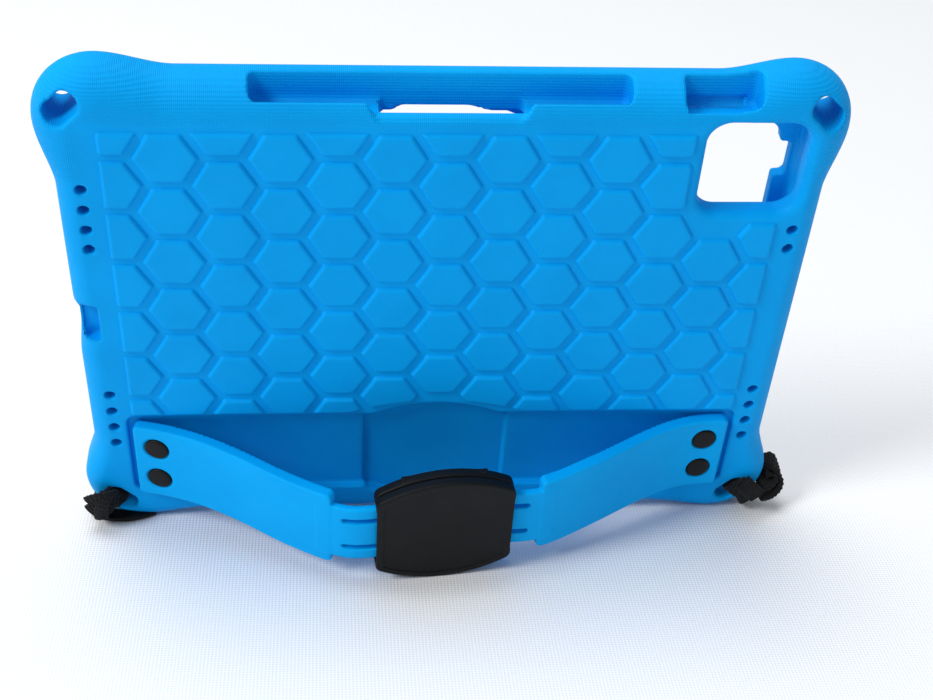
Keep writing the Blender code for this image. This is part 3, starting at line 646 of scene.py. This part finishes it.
def panel2(x, z):
    """The honeycomb's field: a rectangle that makes room for the camera's hole and for
    the bow of the buckle's pocket."""
    field = box2(x, z, PANEL_X, PANEL_Z, 1.0)
    hole = box2(x, z, (CAMERA_X[0] - 4.8, 180.0), (CAMERA_Z[0] - 4.4, 260.0), 12.0)
    bow = barrel2(x, z - STRAP_Z, POCKET_HALF_W + 22.0, POCKET_END_H - 8.0, POCKET_MID_H + 4.8, 1.0)
    return smooth_max(smooth_max(field, -hole, 0.8), -bow, 0.8)


def cell2(x, z, centre):
    """A flat-topped hexagon, drawn in by half a groove."""
    dx, dz = np.abs(x - centre[0]), np.abs(z - centre[1])
    slanted = dx * math.cos(math.radians(30)) + dz * math.sin(math.radians(30))
    return smooth_max(slanted, dz, 0.9) - (HEX_PITCH - GROOVE) / 2


def pad_rings(centre, rays):
    """The outline of a pad at each offset of PAD_PROFILE, or None where no pad fits."""
    def pad2(x, z):
        return smooth_max(cell2(x, z, centre), panel2(x, z), 0.8)

    reach = HEX_SIDE
    grid_x, grid_z = np.meshgrid(np.linspace(-reach, reach, 41) + centre[0],
                                 np.linspace(-reach, reach, 41) + centre[1])
    inside = pad2(grid_x, grid_z) < -0.4
    if inside.sum() * (reach / 20) ** 2 < PAD_LEAST_AREA:
        return None
    middle = (grid_x[inside].mean(), grid_z[inside].mean())

    def ring(offset, cos, sin):
        near, far = np.zeros(rays), np.full(rays, 2.2 * reach)
        for _ in range(24):
            half = (near + far) / 2
            out = pad2(middle[0] + half * cos, middle[1] + half * sin) > offset
            near, far = np.where(out, near, half), np.where(out, half, far)
        return np.stack([middle[0] + near * cos, middle[1] + near * sin], axis=1)

    turn = np.linspace(0, 2 * math.pi, rays, endpoint=False)
    even = even_spacing(ring(0.0, np.cos(turn), np.sin(turn)), rays) - middle
    length = np.hypot(*even.T)
    return [ring(offset, even[:, 0] / length, even[:, 1] / length) for offset, _ in PAD_PROFILE]


def even_spacing(loop, count):
    """The closed loop with its points spaced evenly along it."""
    closed = np.vstack([loop, loop[:1]])
    run = np.concatenate([[0.0], np.cumsum(np.hypot(*np.diff(closed, axis=0).T))])
    at = np.linspace(0, run[-1], count, endpoint=False)
    return np.stack([np.interp(at, run, closed[:, k]) for k in (0, 1)], axis=1)


def build_pads():
    rays = 132
    points, faces = [], []
    columns = int((PANEL_X[1] - HEX_FIRST[0]) / (1.5 * HEX_SIDE)) + 2
    levels = int((PANEL_Z[1] - PANEL_Z[0]) / HEX_PITCH) + 2
    for i in range(columns):
        for m in range(levels):
            centre = (HEX_FIRST[0] + 1.5 * HEX_SIDE * i,
                      HEX_FIRST[1] - HEX_PITCH * (m + 0.5 * (i % 2)))
            rings = pad_rings(centre, rays)
            if rings is None:
                continue
            first = len(points)
            for ring, (_, height) in zip(rings, PAD_PROFILE):
                points += [(x, -height, z) for x, z in ring]
            for base in range(first, first + rays * (len(rings) - 1), rays):
                for k in range(rays):
                    after = (k + 1) % rays
                    faces.append((base + k, base + after, base + rays + after, base + rays + k))
            top = first + rays * (len(rings) - 1)
            faces.append(tuple(range(top, top + rays)))
            faces.append(tuple(range(first + rays - 1, first - 1, -1)))
    pads = make_object("honeycomb_pads", points, faces, FOAM, smooth_angle=50.0)
    edit(pads, lambda work: bmesh.ops.recalc_face_normals(work, faces=work.faces))
    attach(pads, "case")


# ---------------------------------------------------------------- strap
# Middle line of each pulled-out strap half, from its riveted end to the tongue's tip:
# distance from the case's middle, and height above its back.
STRAP_LINE = {
    -1: ((117.0, 0.1), (105.3, 3.0), (93.0, 7.6), (81.2, 13.8), (69.5, 21.3), (58.6, 28.6),
         (48.0, 34.6), (39.6, 38.6), (33.5, 40.3), (28.0, 40.3), (13.2, 38.5)),
    1: ((117.0, 0.1), (105.0, 0.9), (94.0, 3.9), (80.0, 10.9), (66.0, 19.1), (52.2, 26.8),
        (42.0, 31.6), (35.0, 33.3), (28.0, 33.8), (9.1, 35.9)),
}
NECK_AT = {-1: 40.4, 1: 38.6}       # distance from the middle where the strap narrows
SLIT_AT = {-1: 36.6, 1: 34.6}       # and where its slits start
RIB_AT = (104.0, 60.0)              # the ribbed part of the arm's outer face
RIB_PITCH, RIB_RISE, RIB_FADE = 2.3, 0.26, 3.0
CUT_AT = 66.0                       # where the arm ends and the tongue's piece starts


def spline(knots, values, at):
    """Natural cubic spline through values at knots."""
    h = np.diff(knots)
    count = len(knots)
    system = np.eye(count)
    target = np.zeros(count)
    for k in range(1, count - 1):
        system[k, k - 1:k + 2] = h[k - 1], 2 * (h[k - 1] + h[k]), h[k]
        target[k] = 6 * ((values[k + 1] - values[k]) / h[k] - (values[k] - values[k - 1]) / h[k - 1])
    bend = np.linalg.solve(system, target)
    k = np.clip(np.searchsorted(knots, at) - 1, 0, count - 2)
    a, b = knots[k + 1] - at, at - knots[k]
    return ((bend[k] * a ** 3 + bend[k + 1] * b ** 3) / (6 * h[k])
            + (values[k] / h[k] - bend[k] * h[k] / 6) * a
            + (values[k + 1] / h[k] - bend[k + 1] * h[k] / 6) * b)


class StrapLine:
    """The middle line of one strap half, measured along its length."""

    def __init__(self, side):
        self.side = side
        line = np.array(STRAP_LINE[side])
        knots = np.concatenate([[0.0], np.cumsum(np.hypot(*np.diff(line, axis=0).T))])
        fine = np.linspace(0, knots[-1], 1200)
        self.out = spline(knots, line[:, 0], fine)
        self.height = spline(knots, line[:, 1], fine)
        self.run = np.concatenate([[0.0], np.cumsum(np.hypot(np.diff(self.out), np.diff(self.height)))])
        self.length = self.run[-1]

    def at(self, distance_out):
        """Length along the line where it is this far from the case's middle."""
        return float(np.interp(-distance_out, -self.out, self.run))

    def frame(self, s):
        out, height = np.interp(s, self.run, self.out), np.interp(s, self.run, self.height)
        reach = 0.6
        ahead, behind = np.clip(s + reach, 0, self.length), np.clip(s - reach, 0, self.length)
        d_out = np.interp(ahead, self.run, self.out) - np.interp(behind, self.run, self.out)
        d_height = np.interp(ahead, self.run, self.height) - np.interp(behind, self.run, self.height)
        size = np.hypot(d_out, d_height)
        return out, height, d_out / size, d_height / size

    def bent(self, points):
        """Flat points (s, depth, width) laid along the line, in the case's frame."""
        s, depth, width = np.asarray(points, float).T
        out, height, d_out, d_height = self.frame(s)
        out = out + depth * d_height
        height = height - depth * d_out
        return np.stack([self.side * out, -height, STRAP_Z + width], axis=1)


def strap_field(line):
    """A strap half laid flat: s along it from the root, depth inwards, width up the case."""
    neck, slit = line.at(NECK_AT[line.side]), line.at(SLIT_AT[line.side])
    rivet = line.at(RIVET_X)
    rib_start, rib_end = line.at(RIB_AT[0]), line.at(RIB_AT[1])
    half, slim = STRAP_W / 2, TONGUE_W / 2

    def field(s, depth, width):
        ribs = RIB_RISE * (1 - np.cos(2 * math.pi * (s - rib_start) / RIB_PITCH))
        ribs = ribs * ease((s - rib_start) / RIB_FADE) * ease((rib_end - s) / RIB_FADE)
        arm = both(box2(s, width, (0.0, neck), (-half, half), 2.2),
                   slab(depth, -STRAP_T / 2, STRAP_T / 2), 0.9)
        arm = both(arm, -(depth + STRAP_T / 2 - ribs), 0.25)
        low = STRAP_T / 2 - TONGUE_T
        tongue = both(box2(s, width, (neck - 6.0, line.length), (-slim, slim), 1.4),
                      slab(depth, low, STRAP_T / 2), 0.7)
        body = joined(arm, tongue, 0.8)
        for level in (-1, 1):
            z = level * SLIT_OFFSET
            start, end = ((slit + reach, z) for reach in SLIT_SPAN)
            body = without(body, capsule2(s, width, start, end, SLIT_W / 2), 0.35)
            near = np.hypot(s - rivet, width - level * RIVET_OFFSET)
            seat = both(near - RIVET_SEAT_R, slab(depth, STRAP_T / 2 - RIVET_SEAT_D, OUTSIDE))
            body = without(body, seat, 0.5)
            body = without(body, near - RIVET_SHANK_D / 2 - RIVET_GAP, 0.2)
        return body
    return field


def split_strap(whole, name, matrix, plane_s, keep_start):
    """A copy of the flat strap on one side of a cut across its length."""
    thing = whole.copy()
    thing.data = whole.data.copy()
    thing.name = thing.data.name = name
    bpy.context.scene.collection.objects.link(thing)

    def halve(work):
        everything = list(work.verts) + list(work.edges) + list(work.faces)
        cut = bmesh.ops.bisect_plane(work, geom=everything, dist=1e-7, plane_co=(plane_s * MM, 0, 0),
                                     plane_no=(1, 0, 0), clear_outer=keep_start, clear_inner=not keep_start)
        rim = [part for part in cut["geom_cut"] if isinstance(part, bmesh.types.BMEdge)]
        bmesh.ops.holes_fill(work, edges=rim, sides=0)
    edit(thing, halve)
    return thing


def build_strap(side):
    """One strap half: carved flat, cut in two, and bent along its line."""
    word = SIDES[side]
    line = StrapLine(side)
    step = 0.5
    flat = sculpt("strap_flat", strap_field(line), (-1.0, -STRAP_T / 2 - 1, -STRAP_W / 2 - 1),
                  (line.length + 1, STRAP_T / 2 + 1, STRAP_W / 2 + 1), step, STRAP_FOAM)
    middle = line.at(CUT_AT)
    pieces = {}
    for name, keep_start in (("strap_outer_" + word, True), ("strap_inner_" + word, False)):
        thing = split_strap(flat, name, CASE, middle, keep_start)
        flat_points = np.array([v.co for v in thing.data.vertices]) / MM
        bent = line.bent(flat_points) * MM
        thing.data.vertices.foreach_set("co", bent.astype(np.float32).ravel())
        if side < 0:
            thing.data.flip_normals()
        thing.data.update()
        thing.data.set_sharp_from_angle(angle=math.radians(55))
        pieces[keep_start] = thing
    bpy.data.objects.remove(flat, do_unlink=True)

    def on_line(distance_out):
        out, height, _, _ = line.frame(line.at(distance_out))
        return place((side * out, -height, STRAP_Z))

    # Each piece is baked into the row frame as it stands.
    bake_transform(pieces[True], "case", "arm_" + word, start=on_line(113.0), end=on_line(84.0))
    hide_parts("strap_root_" + word, "strap_arm_" + word)
    bend = abs(BEND[side].x)
    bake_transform(pieces[False], "arm_" + word, "tongue_" + word,
             start=on_line(bend + 7.0), end=on_line(bend - 3.5))
    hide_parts("strap_tongue_" + word)


# ---------------------------------------------------------------- rivets
def lathe(name, profile, steps, material, matrix):
    """A solid turned about Y from (radius, y) points, outermost end first."""
    points, faces = [], []
    for radius, y in profile:
        for k in range(steps):
            turn = 2 * math.pi * k / steps
            points.append((radius * math.cos(turn), y, radius * math.sin(turn)))
    for row in range(len(profile) - 1):
        for k in range(steps):
            after = (k + 1) % steps
            here, above = row * steps, (row + 1) * steps
            faces.append((here + k, here + after, above + after, above + k))
    faces.append(tuple(reversed(range(steps))))
    faces.append(tuple((len(profile) - 1) * steps + k for k in range(steps)))
    thing = make_object(name, points, faces, material, matrix, 40.0)
    edit(thing, lambda work: bmesh.ops.recalc_face_normals(work, faces=work.faces))
    return thing


# Radius and y of each ring, from a cap's outer face down its shank, and of a base.
CAP_PROFILE = ((0.4, -1.15), (3.6, -1.05), (4.35, -0.9), (4.75, -0.55), (4.85, -0.1), (4.85, 0.6),
               (1.6, 0.6), (1.6, 7.5))
BASE_PROFILE = ((1.2, 0.0), (3.9, 0.0), (4.4, -0.25), (4.5, -0.6), (4.5, -1.1), (1.75, -1.1))
RIVET_STEPS = 40


def build_rivets():
    """Snap rivets: the caps sit in the strap, the bases in the cavity's rear wall."""
    for side, word in SIDES.items():
        line = StrapLine(side)
        out, height, d_out, d_height = line.frame(line.at(RIVET_X))
        for level, row in ((-1, "lower"), (1, "upper")):
            lift = STRAP_T / 2 - 0.6
            x = side * (out + lift * d_height)
            y = -(height - lift * d_out)
            tilt = math.atan2(d_height, -d_out)
            z = STRAP_Z + level * RIVET_OFFSET
            matrix = CASE @ Matrix.Translation(Vector((x, y, z)) * MM)
            matrix = matrix @ Matrix.Rotation(side * tilt, 4, "Z")
            head = lathe("rivet_cap_%s_%s_turned" % (word, row), CAP_PROFILE, RIVET_STEPS,
                         RIVET_BLACK, matrix)
            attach(head, "case")
            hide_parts("rivet_cap_%s_%s" % (word, row))
            matrix = CASE @ Matrix.Translation(Vector((side * RIVET_X, CAVITY_Y[0] - 0.2, z)) * MM)
            foot = lathe("rivet_base_%s_%s_turned" % (word, row), BASE_PROFILE, RIVET_STEPS,
                         RIVET_BLACK, matrix)
            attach(foot, "case")
            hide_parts("rivet_base_%s_%s" % (word, row))


# ---------------------------------------------------------------- buckle
def buckle_field(outward):
    """One half of the buckle: outward is -1 for the cover and 1 for the base."""
    def field(x, y, z):
        body = barrel2(x, z, BUCKLE_HALF_W, BUCKLE_END_H, BUCKLE_MID_H, 1.8)
        depth = y * outward
        half = both(body, slab(depth, 0.1, BUCKLE_T / 2), 0.9)
        lead_in = LEAD_IN_SLOPE * np.clip(np.abs(x) - LEAD_IN_X, 0.0, 3.2)
        channel = both(slab(z, -MOUTH_W / 2, MOUTH_W / 2),
                       slab(depth, -5.0, BUCKLE_T / 2 - BUCKLE_WALL + lead_in), 0.6)
        half = without(half, channel, 0.5)
        if outward < 0:
            inset = both(body + 3.0, slab(depth, BUCKLE_T / 2 - 0.35, OUTSIDE))
            return without(half, inset, 0.25)
        relief = both(both(BASE_PLATE_HALF_W - np.abs(x), slab(z, -MOUTH_W / 2, MOUTH_W / 2)),
                      slab(depth, -5.0, OUTSIDE))
        half = without(half, relief, 0.4)
        for side in (-1, 1):
            x_span = (side * 14.0 - 2.5, side * 14.0 + 2.5)
            clip = both(box2(x, depth, x_span, (1.6, 4.0), 0.6), slab(z, 20.0, 24.8), 0.5)
            half = joined(half, clip, 0.4)
        return half
    return field


def build_buckle():
    step = 0.45
    high = np.array((BUCKLE_HALF_W + 1, BUCKLE_T / 2 + 1, BUCKLE_MID_H / 2 + 1))
    for name, outward in (("buckle_cover", -1), ("buckle_base", 1)):
        half = sculpt(name + "_moulded", buckle_field(outward), -high, high, step, BUCKLE_BLACK, BUCKLE)
        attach(half, "buckle")
        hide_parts(name)


# ---------------------------------------------------------------- webbing
TAPE_W, TAPE_T = 9.2, 2.4
RIB_LENGTH = 1.5                # along the tape
CORD_PITCH = 1.3                # across it
END_ROUND = 0.35                # length over which a tape's end rounds off
RING_POINTS = 32
ABOVE_GROUND = 2.3              # middle of the loop that lies under the left corner


class Ribbon:
    """Points and faces of woven tapes, each swept along a smooth path through a few
    points of the case's frame, with a rib across it at every RIB_LENGTH."""

    def __init__(self):
        self.points, self.faces = [], []

    def tape(self, path, across, width=TAPE_W, thickness=TAPE_T, ribs=0.16):
        """Adds a tape. across is the direction of its width, for all of it or per point."""
        path = np.array(path)
        across = np.array(across, float)
        if across.ndim == 1:
            across = np.tile(across, (len(path), 1))
        knots = np.concatenate([[0.0], np.cumsum(np.linalg.norm(np.diff(path, axis=0), axis=1))])
        count = int(knots[-1] / (0.35))
        s = np.linspace(0, knots[-1], count)
        middle = np.stack([spline(knots, path[:, k], s) for k in range(3)], axis=1)
        wide = np.stack([np.interp(s, knots, across[:, k]) for k in range(3)], axis=1)
        along = np.gradient(middle, axis=0)
        along /= np.linalg.norm(along, axis=1)[:, None]
        wide -= (wide * along).sum(axis=1)[:, None] * along
        wide /= np.linalg.norm(wide, axis=1)[:, None]
        thick = np.cross(along, wide)
        turn = np.linspace(0, 2 * math.pi, RING_POINTS, endpoint=False)
        cos, sin = np.cos(turn), np.sin(turn)
        side = np.sign(cos) * np.abs(cos) ** 0.45
        face = np.sign(sin) * np.abs(sin) ** 0.8
        end = np.sqrt(np.clip(np.minimum(s, s[-1] - s) / END_ROUND, 0.15, 1.0))
        rib = 1 + ribs * np.sin(2 * math.pi * s / RIB_LENGTH)
        cords = 1 + 0.5 * ribs * np.cos(2 * math.pi * side * width / 2 / CORD_PITCH)
        base = len(self.points)
        for k in range(count):
            half_w = width / 2 * (1 + 0.15 * ribs * math.sin(2 * math.pi * s[k] / RIB_LENGTH))
            half_t = thickness / 2 * rib[k] * end[k]
            ring = middle[k] + np.outer(side * half_w, wide[k]) + np.outer(face * cords * half_t, thick[k])
            self.points += ring.tolist()
        n = RING_POINTS
        for first in range(base, base + (count - 1) * n, n):
            for j in range(n):
                after = (j + 1) % n
                self.faces.append((first + j, first + after, first + n + after, first + n + j))
        self.faces.append(tuple(range(base + n - 1, base - 1, -1)))
        self.faces.append(tuple(range(base + (count - 1) * n, base + count * n)))

    def finish(self, name, node, material):
        thing = make_object(name, self.points, self.faces, material, smooth_angle=60.0)
        edit(thing, lambda work: bmesh.ops.recalc_face_normals(work, faces=work.faces))
        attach(thing, "case")
        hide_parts(node)


def corner_route(side):
    """Out of the foot slot, over the corner and back in from the front."""
    route = ((126.2, 7.0, 11.6), (126.8, 1.0, 13.0), (128.6, -2.6, 14.2), (131.2, -3.2, 11.8),
             (133.6, -1.4, 7.0), (134.6, 3.0, 3.0), (134.5, 8.0, 1.6), (134.5, 15.0, 1.6),
             (133.8, 20.5, 2.6), (131.0, 23.9, 5.8), (127.6, 23.8, 9.2), (125.4, 19.0, 11.0),
             (125.2, 13.0, 11.0))
    return [(side * x, y, z) for x, y, z in route]


def build_webbing():
    """A tape hitched through each foot slot. On the left its two ends are knotted over
    the corner, and on the right one end is cut short beside a standing loop."""
    right = Ribbon()
    right.tape(corner_route(1), (1.0, 0.0, 1.0))
    right.tape([(129.0, -2.6, 17.0), (130.8, -4.8, 16.6), (133.2, -5.4, 14.4), (135.8, -4.8, 11.4)],
               [(1.0, 0.1, 0.8), (1.0, 0.0, 0.9), (1.0, 0.1, 0.9), (1.0, 0.2, 0.7)], 7.6)
    right.finish("webbing_right", "corner_band_right", WEBBING)
    loop = Ribbon()
    loop.tape([(139.8, 7.0, 11.0), (141.0, 8.8, 14.0), (141.8, 9.6, 16.8), (143.4, 9.2, 17.4),
               (145.8, 8.2, 14.6), (146.6, 6.2, 11.4), (145.2, 3.8, 9.0), (141.6, 1.0, 8.4),
               (136.8, -1.8, 10.4)], (0.0, 1.0, 0.15), 8.6, 2.6, 0.22)
    loop.tape([(140.0, 6.4, 15.2), (142.2, 6.8, 14.6), (143.6, 6.0, 12.8), (141.8, 3.8, 11.4),
               (137.6, 1.2, 12.2)], (0.0, 1.0, 0.15), 8.4, 2.4, 0.22)
    loop.finish("webbing_loop_right", "tether_loop_right", WEBBING)
    left = Ribbon()
    left.tape(corner_route(-1), (-1.0, 0.0, 1.0))
    left.tape([(-126.6, -1.8, 12.6), (-129.6, -4.6, 15.6), (-133.2, -5.2, 15.6), (-137.6, -4.4, 13.0)],
              [(-0.5, 0.0, 1.0), (-0.2, 0.0, 1.0), (-0.4, 0.0, 1.0), (-0.5, 0.0, 0.9)], 7.2)
    left.tape([(-130.6, -3.8, 12.2), (-134.0, -5.0, 10.8), (-138.2, -4.2, 8.2)], (-0.5, 0.0, 0.9), 6.4)
    left.tape([(-130.4, -3.0, 17.6), (-131.8, -6.6, 15.6), (-132.8, -7.6, 11.4), (-133.4, -6.0, 6.6),
               (-133.6, -2.6, 3.4)], (-1.0, 0.0, -0.2), 5.6)
    left.finish("webbing_left", "corner_band_left", WEBBING)
    lying = Ribbon()
    arc = ((-137.6, 4.2), (-135.6, 2.0), (-132.4, 0.4), (-128.0, -0.5), (-123.4, -0.4), (-118.4, 1.1),
           (-114.0, 3.6))
    ground = [(x, y, -(CASE.translation.z / MM + y * UP_LEAN) / UP.z + ABOVE_GROUND) for x, y in arc]
    lying.tape(ground, (0.0, 1.0, 0.25), 5.4, 2.6, 0.0)
    lying.finish("webbing_loop_left", "tether_loop_left", CORD_BLACK)


# ---------------------------------------------------------------- stage
CAMERA_LENS = 59.3
CAMERA_PLACE = (-0.0446, -0.5111, 0.3675)
CAMERA_TURN = (61.33, -2.04, -4.59)
LIGHTS_AIM = (0.0, 0.0, 0.08)
SKY, SKY_STRENGTH = (0.93, 0.96, 1.0, 1.0), 0.44


def build_camera():
    data = bpy.data.cameras.new("camera")
    data.sensor_width = 36.0
    data.lens = CAMERA_LENS
    data.clip_start = 0.01
    camera = bpy.data.objects.new("camera", data)
    camera.location = CAMERA_PLACE
    camera.rotation_euler = [math.radians(a) for a in CAMERA_TURN]
    bpy.context.scene.collection.objects.link(camera)
    bpy.context.scene.camera = camera


def area_light(name, location, size, power, colour):
    data = bpy.data.lights.new(name, "AREA")
    data.shape = "DISK"
    data.size = size
    data.energy = power
    data.color = colour
    light = bpy.data.objects.new(name, data)
    light.location = location
    light.rotation_euler = (Vector(location) - Vector(LIGHTS_AIM)).to_track_quat("Z", "Y").to_euler()
    bpy.context.scene.collection.objects.link(light)


def build_stage():
    mesh = bpy.data.meshes.new("floor")
    work = bmesh.new()
    bmesh.ops.create_grid(work, x_segments=2, y_segments=2, size=4.0)
    work.to_mesh(mesh)
    work.free()
    floor = bpy.data.objects.new("floor", mesh)
    mesh.materials.append(floor_material())
    bpy.context.scene.collection.objects.link(floor)
    world = bpy.data.worlds.new("studio")
    world.use_nodes = True
    sky = world.node_tree.nodes["Background"]
    sky.inputs["Color"].default_value = SKY
    sky.inputs["Strength"].default_value = SKY_STRENGTH
    bpy.context.scene.world = world
    area_light("key", (-3.0, -1.9, 2.9), 1.6, 122.0, (1.0, 0.99, 0.97))
    area_light("overhead", (-0.6, 0.5, 4.0), 2.5, 92.0, (1.0, 0.995, 0.98))
    bpy.context.scene.view_settings.view_transform = "Standard"


build_camera()
build_shell()
build_pads()
build_buckle()
for side in SIDES:
    build_strap(side)
build_rivets()
build_webbing()
build_stage()

bpy.context.view_layer.update()
